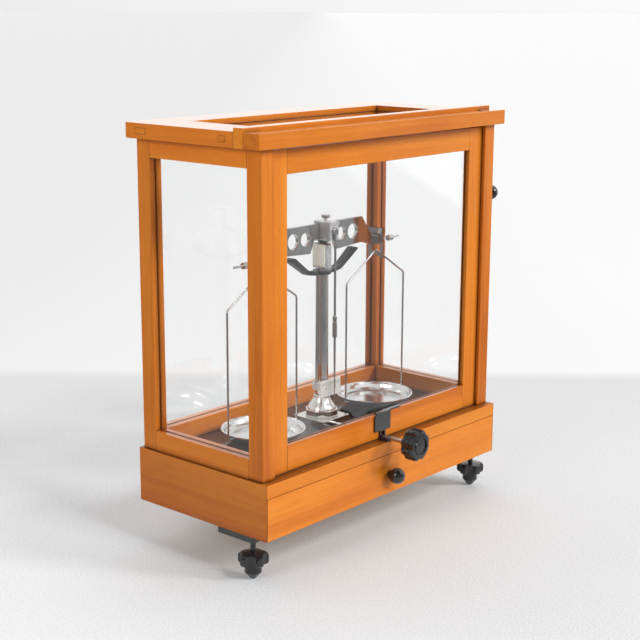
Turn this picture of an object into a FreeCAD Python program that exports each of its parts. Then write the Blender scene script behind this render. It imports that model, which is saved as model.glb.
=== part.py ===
import FreeCAD, Part
import Sketcher
import os, math
from FreeCAD import Vector, Placement, Rotation

# Two-pan analytical balance in a glazed wooden case, on a drawer base.
# Case frame used for the sizes below: x = 0 on the case's centre plane, -y to
# the front, z = 0 on the underside of the wooden base.  Every sub-part is then
# moved by (off_x, off_y, off_z), so the model's origin is the centre of the
# object's box, at the level the feet stand on.

doc = FreeCAD.newDocument("AnalyticalBalance")
sheet = doc.addObject("Spreadsheet::Sheet", "Dims")

DIMS = [
    ("off_x", -2.938), ("off_y", 20.6), ("off_z", 47.5),
    # wooden base with its drawer
    ("base_w", 400.0), ("base_d", 191.6), ("base_h", 60.5), ("base_t", 14.0),
    ("base_bottom_t", 5.0), ("drawer_front_h", 45.4), ("drawer_gap", 0.4),
    ("tray_w", 368.0), ("tray_len", 143.0), ("tray_h", 36.5), ("tray_wall", 8.0), ("tray_floor", 4.0),
    ("ball_r", 9.15),
    # feet
    ("foot_x", 193.0), ("foot_y", -69.0), ("foot_h", 47.5), ("foot_knob_r", 16.3), ("foot_hub_r", 9.0),
    ("foot_stem_r", 3.0), ("bar_w", 14.0), ("bar_len", 51.0), ("bar_t", 6.5),
    ("rear_foot_y", 75.0), ("rear_foot_r", 9.0),
    # posts and rails of the case
    ("case_w", 392.8), ("case_y0", -87.1), ("case_y1", 92.2), ("case_z1", 397.8),
    ("post_w", 18.0), ("post_front_d", 20.0), ("post_rear_d", 19.2),
    ("rail_h", 21.5), ("rail_top_h", 19.8), ("groove_w", 3.2), ("groove_d", 4.0), ("pane_t", 3.0),
    ("run_y0", -82.7), ("run_y1", -72.4), ("run_d", 4.6),
    # sliding front sash
    ("sash_w", 364.8), ("sash_y0", -82.3), ("sash_t", 9.5), ("sash_z0", 61.5), ("sash_z1", 395.0),
    ("stile_w", 28.0), ("sash_rail_bot", 28.5), ("sash_rail_top", 25.0), ("sash_glass_t", 2.4),
    # lid frame
    ("lid_w", 412.8), ("lid_y0", -94.4), ("lid_y1", 97.8), ("lid_t", 16.2),
    ("lid_side", 53.4), ("cross_y0", -58.9), ("cross_d", 21.0), ("cross_rear_d", 42.8), ("strip_d", 13.5), ("strip_h", 20.2),
    # floor plate, pillar and head
    ("floor_t", 2.0), ("pil_y", 8.0), ("plate_w", 46.0), ("plate_t", 8.0),
    ("oct_w", 36.0), ("oct_h", 8.0), ("bell_h", 17.0), ("col_r", 7.5), ("col_z1", 236.0), ("bore_r", 2.4),
    ("neck_r", 6.0), ("head_z0", 243.4), ("head_w", 10.0), ("head_d", 19.0), ("head_z1", 269.5), ("agate_t", 2.0),
    # arrestment
    ("shaft_z", 63.6), ("shaft_r", 2.5), ("fit", 0.06), ("cam_r", 3.5), ("cam_e", 0.9), ("rod_r", 2.0),
    ("knob_r", 17.5), ("knob_y0", -139.0), ("knob_y1", -121.5),
    # beam
    ("arm", 96.0), ("pivot_z", 271.55), ("beam_t", 5.0), ("beam_z1", 294.5), ("beam_top", 66.8),
    ("hole_a", 9.0), ("hole_b", 7.8), ("hole_ax", 50.6), ("hole_bx", 30.7), ("hole_z", 279.0),
    ("saddle_w", 15.4), ("saddle_y0", -10.0), ("saddle_y1", 13.3), ("saddle_z0", 276.0), ("saddle_z1", 297.0),
    ("rod_z", 262.5), ("nut_r", 3.7), ("nut_x0", 117.5), ("nut_len", 8.0),
    ("ptr_y", -11.4), ("ptr_r", 1.35), ("ptr_z0", 90.0), ("ptr_z1", 290.5),
    # stirrups, bows, pans
    ("hoop_t", 2.0), ("hoop_w", 22.0), ("hoop_z0", 242.5), ("hoop_z1", 278.0),
    ("bow_half", 53.0), ("wire_r", 1.1), ("bow_apex", 250.45), ("bow_shoulder", 217.5), ("hook_z", 75.0),
    ("pan_r", 46.0), ("pan_rim_z", 77.2), ("pan_h", 9.2), ("pan_wall", 0.9),
]
for i, (alias, value) in enumerate(DIMS, 1):
    sheet.set("A%d" % i, alias)
    sheet.set("B%d" % i, "%.6g" % value)
    sheet.setAlias("B%d" % i, alias)
doc.recompute()


class Q:
    """A number together with the spreadsheet expression it comes from."""
    def __init__(self, v, e):
        self.v, self.e = float(v), e
    def _w(self, o):
        return o if isinstance(o, Q) else Q(o, "%.6g" % o if o >= 0 else "(%.6g)" % o)
    def __add__(self, o):
        o = self._w(o); return Q(self.v + o.v, "(%s + %s)" % (self.e, o.e))
    def __radd__(self, o):
        return self._w(o) + self
    def __sub__(self, o):
        o = self._w(o); return Q(self.v - o.v, "(%s - %s)" % (self.e, o.e))
    def __rsub__(self, o):
        return self._w(o) - self
    def __mul__(self, o):
        o = self._w(o); return Q(self.v * o.v, "(%s * %s)" % (self.e, o.e))
    def __rmul__(self, o):
        return self._w(o) * self
    def __truediv__(self, o):
        o = self._w(o); return Q(self.v / o.v, "(%s / %s)" % (self.e, o.e))
    def __neg__(self):
        return Q(-self.v, "(0 - %s)" % self.e)


def num(a):
    return a.v if isinstance(a, Q) else float(a)


D = {a: Q(v, "Dims." + a) for a, v in DIMS}
NODES = []


def plane(body, role):
    return [f for f in body.Origin.OriginFeatures if f.Role == role][0]


def sketch(body, role, z=0):
    sk = body.newObject("Sketcher::SketchObject", body.Name + "_sk")
    sk.AttachmentSupport = [(plane(body, role), "")]
    sk.MapMode = "FlatFace"
    if num(z) != 0:
        sk.AttachmentOffset = Placement(Vector(0, 0, num(z)), Rotation())
        if isinstance(z, Q):
            sk.setExpression("AttachmentOffset.Base.z", z.e)
    return sk


def fix(sk, geo, pos, x, y):
    """Tie a sketch point to the origin at (x, y)."""
    for axis, val in (("X", x), ("Y", y)):
        if abs(num(val)) < 1e-9:
            sk.addConstraint(Sketcher.Constraint("PointOnObject", geo, pos, -2 if axis == "X" else -1))
        else:
            c = sk.addConstraint(Sketcher.Constraint("Distance" + axis, -1, 1, geo, pos, num(val)))
            if isinstance(val, Q):
                sk.setExpression("Constraints[%d]" % c, val.e)


def loop(sk, pts):
    """Closed polygon through pts."""
    n, first = len(pts), sk.GeometryCount
    for i in range(n):
        a, b = pts[i], pts[(i + 1) % n]
        sk.addGeometry(Part.LineSegment(Vector(num(a[0]), num(a[1]), 0), Vector(num(b[0]), num(b[1]), 0)), False)
    for i in range(n):
        sk.addConstraint(Sketcher.Constraint("Coincident", first + i, 2, first + (i + 1) % n, 1))
    for i in range(n):
        fix(sk, first + i, 1, pts[i][0], pts[i][1])


def rect(sk, x0, y0, x1, y1):
    loop(sk, [(x0, y0), (x1, y0), (x1, y1), (x0, y1)])


def circle(sk, x, y, r):
    g = sk.addGeometry(Part.Circle(Vector(num(x), num(y), 0), Vector(0, 0, 1), num(r)), False)
    fix(sk, g, 3, x, y)
    c = sk.addConstraint(Sketcher.Constraint("Radius", g, num(r)))
    if isinstance(r, Q):
        sk.setExpression("Constraints[%d]" % c, r.e)


def setq(obj, prop, val):
    setattr(obj, prop, num(val))
    if isinstance(val, Q):
        obj.setExpression(prop, val.e)


def pad(body, sk, length, mid=False, back=False):
    f = body.newObject("PartDesign::Pad", body.Name + "_pad")
    f.Profile = sk
    setq(f, "Length", length)
    if mid:
        f.SideType = "Symmetric"
    f.Reversed = back
    sk.Visibility = False
    return f


def pocket(body, sk, length, mid=False, back=False, check=True):
    doc.recompute()
    before = body.Shape.Volume
    f = body.newObject("PartDesign::Pocket", body.Name + "_cut")
    f.Profile = sk
    setq(f, "Length", length)
    if mid:
        f.SideType = "Symmetric"
    f.Reversed = back
    doc.recompute()
    if check and not body.Shape.Volume < before - 0.01:
        raise RuntimeError("pocket cuts nothing: " + body.Label)
    return f


def revolve(body, pts, role="XZ_Plane"):
    """Turned piece: (radius, height) profile about the body's own Z axis."""
    sk = sketch(body, role)
    loop(sk, pts)
    f = body.newObject("PartDesign::Revolution", body.Name + "_rev")
    f.Profile = sk
    f.ReferenceAxis = (sk, ["V_Axis"])
    f.Angle = 360.0
    return f


def polar(body, feature, n, axis="Z_Axis"):
    doc.recompute()
    before = body.Shape.Volume
    p = body.newObject("PartDesign::PolarPattern", body.Name + "_polar")
    p.Originals = [feature]
    p.Axis = (plane(body, axis), [""])
    p.Angle = 360.0
    p.Occurrences = n
    body.Tip = p
    doc.recompute()
    if not body.Shape.Volume < before - 0.01:
        raise RuntimeError("pattern adds nothing: " + body.Label)
    return p


def dress(body, kind, size, pick):
    """Fillet or chamfer of the edges that pick() accepts."""
    doc.recompute()
    base = body.Tip
    names = ["Edge%d" % (i + 1) for i, e in enumerate(base.Shape.Edges) if pick(e)]
    if not names:
        raise RuntimeError("no edge to dress on " + body.Label)
    f = body.newObject("PartDesign::" + kind, body.Name + "_" + kind.lower())
    f.Base = (base, names)
    setq(f, "Radius" if kind == "Fillet" else "Size", size)
    body.Tip = f
    doc.recompute()
    return f


def new_body(label):
    b = doc.addObject("PartDesign::Body", label)
    b.Label = label
    return b


def place(obj, x=0, y=0, z=0, rot=None, off=True):
    """Placement of a sub-part; its base point stays bound to the sheet."""
    parts = []
    for val, o in ((x, "off_x"), (y, "off_y"), (z, "off_z")):
        parts.append(D[o] + val if off else (val if isinstance(val, Q) else Q(val, "%.6g" % val)))
    obj.Placement = Placement(Vector(*[num(p) for p in parts]), rot or Rotation())
    for p, a in zip(parts, "xyz"):
        obj.setExpression("Placement.Base." + a, p.e)


def node(obj, label=None):
    if label:
        obj.Label = label
    NODES.append(obj)
    return obj


def prism_z(label, z0, z1, *loops, **kw):
    """Upright prism: profile in case x, y."""
    b = new_body(label)
    sk = sketch(b, "XY_Plane")
    for l in loops:
        loop(sk, l)
    pad(b, sk, z1 - z0)
    place(b, 0, 0, z0, off=kw.get("off", True))
    return b


def prism_y(label, y0, y1, *loops, **kw):
    """Prism along y: profile in case x, z."""
    b = new_body(label)
    sk = sketch(b, "XZ_Plane")
    for l in loops:
        loop(sk, l)
    pad(b, sk, y1 - y0)
    place(b, 0, y1, 0, off=kw.get("off", True))
    return b


def prism_x(label, x0, x1, *loops, **kw):
    """Prism along x: profile in case y, z."""
    b = new_body(label)
    sk = sketch(b, "YZ_Plane")
    for l in loops:
        loop(sk, l)
    pad(b, sk, x1 - x0)
    place(b, x0, 0, 0, off=kw.get("off", True))
    return b


def box(label, x0, y0, z0, x1, y1, z1, **kw):
    return prism_z(label, z0, z1, [(x0, y0), (x1, y0), (x1, y1), (x0, y1)], **kw)


def pair(label, left, keep=None):
    """The piece and its mirror image about the case's centre plane, in one node."""
    left.Label = label + "_left_piece"
    m = doc.addObject("Part::Mirroring", label + "_mirror")
    m.Source = left
    m.Normal = Vector(1, 0, 0)
    m.Base = Vector(0, 0, 0)
    c = doc.addObject("Part::Compound", label)
    c.Links = [left, m]
    place(c)
    return node(c, label)


def group(label, objs):
    for i, o in enumerate(objs):
        o.Label = "%s_piece_%d" % (label, i + 1)
    c = doc.addObject("Part::Compound", label)
    c.Links = list(objs)
    place(c)
    return node(c, label)


d = type("Dd", (), D)   # d.base_w and so on

# ------------------------------------------------------------------ base
bw, bd = d.base_w / 2, d.base_d / 2
bt = d.base_t
g = d.drawer_gap
# side panels run the full depth and are mitred to the front pieces
side = new_body("base_sides_body")
sk = sketch(side, "XY_Plane")
loop(sk, [(-bw, -bd), (bt - bw, bt - bd), (bt - bw, bd), (-bw, bd)])
pad(side, sk, d.base_h)
# blind hole that the foot's screw rises into
sk = sketch(side, "XY_Plane")
circle(sk, -d.foot_x, d.foot_y, d.foot_stem_r + 0.6)
pocket(side, sk, 14, back=True)
place(side, off=False)
pair("base_sides", side)
node(box("base_back", bt - bw, bd - bt, 0, bw - bt, bd, d.base_h))
# front rail above the drawer, mitred into the side panels
node(prism_z("base_front_rail", d.drawer_front_h + g, d.base_h,
             [(-bw, -bd), (bw, -bd), (bw - bt, bt - bd), (bt - bw, bt - bd)]))
# top board, with a clearance hole below the pillar for the arrestment cam
bt_body = box("base_top", bt - bw, bt - bd, d.drawer_front_h + g, bw - bt, bd - bt, d.base_h)
sk = sketch(bt_body, "XY_Plane", d.base_h - d.drawer_front_h - g - 2.5)
rect(sk, -7, d.pil_y - 6, 7, d.pil_y + 8)
pocket(bt_body, sk, 5.0, back=True)
node(bt_body)
node(box("base_bottom", bt - bw, bt - bd + 0.5, 0, bw - bt, bd - bt, d.base_bottom_t))

# ---------------------------------------------------------------- drawer
m = g * 1.4
front = prism_z("drawer_front", g, d.drawer_front_h,
                [(m - bw, -bd), (bw - m, -bd), (bw - bt - m, bt - bd), (bt - bw + m, bt - bd)])
node(front)
tw, tl = d.tray_w / 2, d.tray_len
tz0 = d.base_bottom_t + 0.4
tray = box("drawer_tray", -tw, bt - bd, tz0, tw, bt - bd + tl, tz0 + d.tray_h)
sk = sketch(tray, "XY_Plane", d.tray_floor)
rect(sk, d.tray_wall - tw, bt - bd, tw - d.tray_wall, bt - bd + tl - d.tray_wall)
pocket(tray, sk, d.tray_h, back=True)
node(tray)
# ball knob screwed to the drawer front; its own Z axis points forwards
knob = new_body("drawer_knob")
br = d.ball_r
pts = [(0, 0), (4.5, 0), (4.5, 1.6)]
N = 14
a0 = math.asin(4.5 / br.v)
c0 = math.cos(a0)
for i in range(1, N):
    a = a0 + (math.pi - a0) * i / N
    pts.append((br * round(math.sin(a), 6), 1.6 + br * round(c0 - math.cos(a), 6)))
pts.append((0, 1.6 + br * round(c0 + 1, 6)))
revolve(knob, pts)
place(knob, 0, -bd, 22.0, Rotation(Vector(1, 0, 0), 90))
node(knob)

# ------------------------------------------------------------------ feet
fx, fy = d.foot_x, d.foot_y
bar = box("foot_bars_body", -fx - d.bar_w / 2, fy - 6.5, -d.bar_t, d.bar_w / 2 - fx, fy - 6.5 + d.bar_len, 0, off=False)
sk = sketch(bar, "XY_Plane")
circle(sk, -fx, fy, d.foot_stem_r + d.fit)
pocket(bar, sk, d.bar_t, back=True)
pair("foot_bars", bar)


def levelling_foot(label, sx):
    """Star grip with its screw: turned, then five flutes round the grip."""
    b = new_body(label)
    H, R, hub, st = d.foot_h, d.foot_knob_r, d.foot_hub_r, d.foot_stem_r
    revolve(b, [(0, 0), (2.6, 0), (3.4, 0.8), (7.6, 5.6), (hub, 7.2), (hub, 16.0), (R - 2.0, 16.0), (R - 0.5, 17.2),
                (R, 18.6), (R, 24.6), (R - 0.8, 26.6), (R - 3.0, 27.6), (6.0, 28.6), (st, 28.6), (st, H + 7.0), (st - 0.7, H + 7.8), (0, H + 7.8)])
    sk = sketch(b, "XY_Plane", 15.0)
    circle(sk, R + 3.6, 0, 8.2)
    f = pocket(b, sk, 14.0, back=True)
    polar(b, f, 5)
    place(b, sx * fx, fy, -H)
    return node(b)


levelling_foot("foot_left", -1)
levelling_foot("foot_right", 1)
rf = new_body("rear_foot")
rr = d.rear_foot_r
revolve(rf, [(0, 0), (rr, 0), (rr + 0.5, 0.6), (rr + 0.5, 5.0), (rr - 1.5, 5.6), (rr - 1.5, d.foot_h - 4.5),
             (rr + 6.0, d.foot_h - 4.0), (rr + 6.0, d.foot_h), (0, d.foot_h)])
place(rf, 0, d.rear_foot_y, -d.foot_h)
node(rf)

# ----------------------------------------------------- posts and side rails
cw = d.case_w / 2
z0, z1 = d.base_h, d.case_z1
y0, y1 = d.case_y0, d.case_y1
pw, pf, prr = d.post_w, d.post_front_d, d.post_rear_d
gw, gd = d.groove_w, d.groove_d
gx0 = (cw - pw / 2) + gw / 2         # outer side of the side-pane groove
gx1 = (cw - pw / 2) - gw / 2
xi = cw - pw                          # inner face of the posts
# front post: groove for the sash on its inner side, groove for the side pane behind
pf_body = prism_z("posts_front_body", z0, z1, [
    (-cw, y0), (-xi, y0), (-xi, d.run_y0), (-xi - d.run_d, d.run_y0), (-xi - d.run_d, d.run_y1), (-xi, d.run_y1),
    (-xi, y0 + pf), (-gx1, y0 + pf), (-gx1, y0 + pf - gd), (-gx0, y0 + pf - gd), (-gx0, y0 + pf), (-cw, y0 + pf)], off=False)
mir = doc.addObject("Part::Mirroring", "post_front_right_body")
mir.Source = pf_body
mir.Normal = Vector(1, 0, 0)
# the right-hand post is drilled for the sash lock
drill = doc.addObject("Part::Cylinder", "lock_drill")
setq(drill, "Radius", d.shaft_r + d.fit)
setq(drill, "Height", 40)
place(drill, xi - 5, -77.5, 316.0, Rotation(Vector(0, 1, 0), 90), off=False)
pr_cut = doc.addObject("Part::Cut", "post_front_right_cut")
pr_cut.Base = mir
pr_cut.Tool = drill
pf_body.Label = "post_front_left_piece"
pfc = doc.addObject("Part::Compound", "posts_front")
pfc.Links = [pf_body, pr_cut]
place(pfc)
node(pfc, "posts_front")
# rear post: pane grooves on its front and inner faces
yr = y1 - prr
yg0 = y1 - prr / 2 - gw / 2
yg1 = y1 - prr / 2 + gw / 2
pr_body = prism_z("posts_rear_body", z0, z1, [
    (-cw, yr), (-gx0, yr), (-gx0, yr + gd), (-gx1, yr + gd), (-gx1, yr), (-xi, yr),
    (-xi, yg0), (-xi - gd, yg0), (-xi - gd, yg1), (-xi, yg1), (-xi, y1), (-cw, y1)], off=False)
pair("posts_rear", pr_body)
# side rails, grooved for the pane
ry0, ry1 = y0 + pf, yr
zb, zt = z0 + d.rail_h, z1 - d.rail_top_h


def side_rails(label, s):
    lo = prism_y(label + "_lo", ry0, ry1, [(s * cw, z0), (s * xi, z0), (s * xi, zb), (s * gx1, zb), (s * gx1, zb - gd),
                                          (s * gx0, zb - gd), (s * gx0, zb), (s * cw, zb)], off=False)
    hi = prism_y(label + "_hi", ry0, ry1, [(s * cw, z1), (s * xi, z1), (s * xi, zt), (s * gx1, zt), (s * gx1, zt + gd),
                                          (s * gx0, zt + gd), (s * gx0, zt), (s * cw, zt)], off=False)
    return group(label, [lo, hi])


side_rails("rails_left", -1)
side_rails("rails_right", 1)
lo = prism_x("rails_back_lo", -xi, xi, [(yr, z0), (y1, z0), (y1, zb), (yg1, zb), (yg1, zb - gd), (yg0, zb - gd), (yg0, zb), (yr, zb)], off=False)
hi = prism_x("rails_back_hi", -xi, xi, [(yr, z1), (y1, z1), (y1, zt), (yg1, zt), (yg1, zt + gd), (yg0, zt + gd), (yg0, zt), (yr, zt)], off=False)
group("rails_back", [lo, hi])
# panes stand 0.1 mm clear in their grooves
c = 0.1
gs = box("glass_sides_body", -gx0 + c, ry0 - gd + c, zb - gd + c, -gx1 - c, ry1 + gd - c, zt + gd - c, off=False)
pair("glass_sides", gs)
node(box("glass_back", -xi - gd + c, yg0 + c, zb - gd + c, xi + gd - c, yg1 - c, zt + gd - c))

# -------------------------------------------------------------------- lid
lw = d.lid_w / 2
lz0, lz1 = z1, z1 + d.lid_t
lx = lw - d.lid_side
cy0, cy1 = d.cross_y0, d.cross_y0 + d.cross_d
ry = d.lid_y1 - d.cross_rear_d
lg0 = lz0 + d.lid_t / 2 - gw / 2
lg1 = lz0 + d.lid_t / 2 + gw / 2
# side boards with through mortises for the cross rails and a groove for the pane
ls = prism_y("lid_sides_body", cy0, d.lid_y1, [(-lw, lz0), (-lx, lz0), (-lx, lg0), (-lx - gd, lg0), (-lx - gd, lg1), (-lx, lg1),
                                             (-lx, lz1), (-lw, lz1)], off=False)
sk = sketch(ls, "YZ_Plane", -lw - 1)
off_y1 = d.lid_y1                     # the body's own y = 0 lies at the lid's rear edge
rect(sk, cy0 + 10.8 - off_y1, lz0 + 5.2, cy0 + 20.6 - off_y1, lz0 + 11.3)
rect(sk, ry + 12.0 - off_y1, lz0 + 5.2, ry + 28.0 - off_y1, lz0 + 11.3)
pocket(ls, sk, d.lid_side + 2, back=True)
pair("lid_sides", ls)


def cross(label, ya, yb, t0, t1, gy):
    b = box(label, -lx, ya, lz0, lx, yb, lz1)
    # tenons run through the side boards and show on the ends
    sk = sketch(b, "YZ_Plane", -lw)
    rect(sk, t0, 5.2, t1, 11.3)
    pad(b, sk, lw * 2)
    sk = sketch(b, "YZ_Plane", -(lx + gd))
    rect(sk, gy[0], lg0 - lz0, gy[1], lg1 - lz0)
    pocket(b, sk, (lx + gd) * 2, back=True)
    return node(b)


cross("lid_cross_front", cy0, cy1, cy0 + 10.8, cy0 + 20.6, (cy1 - gd, cy1 + 1))
cross("lid_cross_rear", ry, d.lid_y1, ry + 12.0, ry + 28.0, (ry - 1, ry + gd))
node(box("lid_strip", -lw, cy0 - d.strip_d, lz0, lw, cy0, lz0 + d.strip_h))
# front board; the sash rises through the slot behind it
fr = cy0 - d.strip_d
fb = prism_z("lid_front", lz0, lz1, [(-lw, d.lid_y0), (lw, d.lid_y0), (lw, fr), (xi + d.run_d, fr), (xi + d.run_d, d.run_y0 - 0.1),
                                    (-xi - d.run_d, d.run_y0 - 0.1), (-xi - d.run_d, fr), (-lw, fr)])
node(fb)
node(box("glass_top", -lx - gd + c, cy1 - gd + c, lg0 + c, lx + gd - c, ry + gd - c, lg1 - c))

# ------------------------------------------------------------------- sash
sw = d.sash_w / 2
sy0, sy1 = d.sash_y0, d.sash_y0 + d.sash_t
sz0, sz1 = d.sash_z0, d.sash_z1
gy0 = sy0 + 5.1
gy1 = gy0 + d.sash_glass_t + 0.2
si = sw - d.stile_w
st_body = prism_z("sash_stiles_body", sz0, sz1, [(-sw, sy0), (-si, sy0), (-si, gy0), (-si - gd, gy0), (-si - gd, gy1), (-si, gy1),
                                               (-si, sy1), (-sw, sy1)], off=False)
pair("sash_stiles", st_body)
srb, srt = sz0 + d.sash_rail_bot, sz1 - d.sash_rail_top
sb = prism_x("sash_rail_bottom", -si, si, [(sy0, sz0), (sy1, sz0), (sy1, srb), (gy1, srb), (gy1, srb - gd), (gy0, srb - gd), (gy0, srb), (sy0, srb)])
# notch, open below, that the arrestment shaft passes through
sk = sketch(sb, "YZ_Plane", si - 4.5)
rect(sk, sy0 - 1, sz0 - 1, sy1 + 1, sz0 + 8.5)
pocket(sb, sk, 9.0, back=True)
node(sb)
node(prism_x("sash_rail_top", -si, si, [(sy0, sz1), (sy1, sz1), (sy1, srt), (gy1, srt), (gy1, srt + gd), (gy0, srt + gd), (gy0, srt), (sy0, srt)]))
node(box("sash_glass", -si - gd + c, gy0 + c, srb - gd + c, si + gd - c, gy1 - c, srt + gd - c))
# folded steel lift: front plate, top flange, finger arm and a fork over the shaft
lift = new_body("sash_lift")
sk = sketch(lift, "XZ_Plane")
loop(sk, [(-13.7, 71.0), (-4.6, 71.0), (-4.6, 63.2), (-3.1, 63.2), (-3.1, 69.6), (3.1, 69.6), (3.1, 63.2), (4.6, 63.2), (4.6, 71.0),
          (13.7, 71.0), (13.7, srb + 1.8), (-9.2, srb + 1.8), (-13.7, srb - 2.7)])
pad(lift, sk, 1.8)
sk = sketch(lift, "XY_Plane", srb)
loop(sk, [(-9.2, 0), (13.7, 0), (13.7, 0.4), (33.5, 0.4), (35.5, 2.2), (33.5, 4.6), (-9.2, 4.6)])
pad(lift, sk, 1.8)
place(lift, 0, sy0, 0)
node(lift)

# sash lock: ball knob and screw through the right-hand post; own Z axis is +X
lock = new_body("sash_lock")
lr = 8.75
pts = [(0, 0), (d.shaft_r - 0.7, 0), (d.shaft_r, 0.9), (d.shaft_r, 14.6), (4.2, 14.6), (4.2, 15.6)]
a0 = math.asin(4.2 / lr)
for i in range(1, N):
    a = a0 + (math.pi - a0) * i / N
    pts.append((lr * round(math.sin(a), 6), 15.6 + lr * round(math.cos(a0) - math.cos(a), 6)))
pts.append((0, 15.6 + lr * round(math.cos(a0) + 1, 6)))
revolve(lock, pts)
place(lock, sw + 0.75, -77.5, 316.0, Rotation(Vector(0, 1, 0), 90))
node(lock)

# ------------------------------------------------- floor plate and pillar
py = d.pil_y
fz = z0 + d.floor_t
fl = box("floor_plate", -xi + 0.3, y0 + pf, z0, xi - 0.3, yr - 0.3, fz)
sk = sketch(fl, "XY_Plane")
rect(sk, -7, py - 6, 7, py + 6)
pocket(fl, sk, d.floor_t, back=True)
# slot that the arrestment shaft lies in
sk = sketch(fl, "XY_Plane")
rect(sk, -3.4, y0 + pf - 1, 3.4, py + 8)
pocket(fl, sk, d.floor_t, back=True)
node(fl)
ph = d.plate_w / 2
pz1 = fz + d.plate_t
cp = box("pillar_plate", -ph, py - ph, fz, ph, py + ph, pz1)
sk = sketch(cp, "XZ_Plane", -(py + 30))
circle(sk, 0, d.shaft_z - fz, d.shaft_r + d.fit)
pocket(cp, sk, 60 + d.plate_w, back=False, mid=True)
sk = sketch(cp, "XY_Plane")
rect(sk, -6, py - 5, 6, py + 5)
pocket(cp, sk, d.plate_t, back=True)
node(cp)
# eight-sided base with a bell that carries the pillar
pb = new_body("pillar_base")
o = d.oct_w / 2
k = round(math.tan(math.pi / 8), 6)
sk = sketch(pb, "XY_Plane")
loop(sk, [(o, -o * k), (o, o * k), (o * k, o), (-o * k, o), (-o, o * k), (-o, -o * k), (-o * k, -o), (o * k, -o)])
pad(pb, sk, d.oct_h)
bell_z = d.oct_h + d.bell_h
sk = sketch(pb, "XZ_Plane")
cr = d.col_r
loop(sk, [(0, d.oct_h - 0.5), (16.6, d.oct_h - 0.5), (16.6, d.oct_h + 0.6), (16.0, d.oct_h + 2.6), (14.2, d.oct_h + 5.6), (11.8, d.oct_h + 8.8),
          (10.0, d.oct_h + 12.2), (9.2, bell_z - 2.4), (9.4, bell_z - 1.6), (9.0, bell_z), (0, bell_z)])
f = pb.newObject("PartDesign::Revolution", "pillar_base_bell")
f.Profile = sk
f.ReferenceAxis = (sk, ["V_Axis"])
f.Angle = 360.0
sk = sketch(pb, "XY_Plane")
circle(sk, 0, 0, cr)
pocket(pb, sk, bell_z + 1, back=True)
place(pb, 0, py, pz1)
node(pb)
# pillar tube with a narrower slotted neck under the head
col = new_body("pillar")
revolve(col, [(d.bore_r, pz1), (cr, pz1), (cr, d.col_z1), (d.neck_r, d.col_z1), (d.neck_r, d.head_z0), (d.bore_r, d.head_z0)])
sk = sketch(col, "XZ_Plane")
rect(sk, -(cr + 1), d.col_z1 + 1.0, cr + 1, d.col_z1 + 6.2)
pocket(col, sk, 3.2, mid=True)
place(col, 0, py, 0)
node(col)
hw, hd = d.head_w / 2, d.head_d / 2
hb = box("head_block", -hw, py - hd, d.head_z0, hw, py + hd, d.head_z1)
sk = sketch(hb, "XY_Plane")
circle(sk, 0, py, d.bore_r)
pocket(hb, sk, 2.5, back=True)
node(hb)
node(box("head_cover", -hw - 2.0, py - hd + 0.4, d.head_z0 + 2.2, -hw, py + hd - 1.0, d.head_z1 + 1.5))
node(box("centre_bearing", -hw, py - hd + 1.0, d.head_z1, hw, py + hd - 1.0, d.head_z1 + d.agate_t))
# index plate on a split ring round the pillar
ip = new_body("index_plate")
sk = sketch(ip, "XZ_Plane", 12.0)
rect(sk, -17.5, 95.8, 17.5, 115.2)
pad(ip, sk, 1.6)
sk = sketch(ip, "XY_Plane", 101.5)
loop(sk, [(-4.5, -12.6), (4.5, -12.6), (4.5, -9.0), (7.6, -7.6), (10.4, -3.0), (10.4, 3.0), (7.6, 7.6), (3.0, 10.4), (-3.0, 10.4), (-7.6, 7.6), (-10.4, 3.0),
          (-10.4, -3.0), (-7.6, -7.6), (-4.5, -9.0)])
pad(ip, sk, 8.0)
sk = sketch(ip, "XY_Plane", 95.0)
circle(sk, 0, 0, cr)
pocket(ip, sk, 30, back=True)
sk = sketch(ip, "XZ_Plane", 20.0)
circle(sk, -8.2, 104.8, 1.3)
circle(sk, 8.2, 104.8, 1.3)
pocket(ip, sk, 12.0)
place(ip, 0, py, 0)
node(ip)

# ------------------------------------------------------------ arrestment
sb2 = box("shaft_bearing", -5, -95.3, z0, 5, -85.4, d.shaft_z + 0.8)
sk = sketch(sb2, "XZ_Plane", 96)
circle(sk, 0, d.shaft_z - z0, d.shaft_r + d.fit)
pocket(sb2, sk, 20)
node(sb2)
# shaft with the eccentric that lifts the rod; own Z axis points forwards (-y)
sh = new_body("arrest_shaft")
a45 = round(math.cos(math.pi / 4), 6)
revolve(sh, [(0, -7.0), (d.shaft_r, -7.0), (d.shaft_r, -3.0), (1.8, -3.0), (1.8, 3.0), (d.shaft_r, 3.0), (d.shaft_r, py - d.knob_y1 + 8), (0, py - d.knob_y1 + 8)])
sk = sketch(sh, "XY_Plane", -2.6)
circle(sk, d.cam_e * a45, -d.cam_e * a45, d.cam_r)
pad(sh, sk, 5.2)
place(sh, 0, py, d.shaft_z, Rotation(Vector(1, 0, 0), 90))
node(sh)
kn = new_body("arrest_knob")
kr, kl = d.knob_r, d.knob_y1 - d.knob_y0
revolve(kn, [(d.shaft_r, -3.0), (7.5, -3.0), (8.5, 0), (kr - 2.4, 0), (kr - 0.7, 1.0), (kr, 3.0), (kr, kl - 4.4), (kr - 0.8, kl - 2.6), (kr - 3.0, kl - 1.7),
             (10.6, kl - 1.4), (10.2, kl), (9.2, kl), (8.8, kl - 1.5), (0, kl - 1.1), (0, 8), (d.shaft_r, 8)])
sk = sketch(kn, "XY_Plane", -1)
circle(sk, kr + 2.2, 0, 5.4)
f = pocket(kn, sk, 20, back=True)
polar(kn, f, 8)
place(kn, 0, d.knob_y1, d.shaft_z, Rotation(Vector(1, 0, 0), 90))
node(kn)
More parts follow.
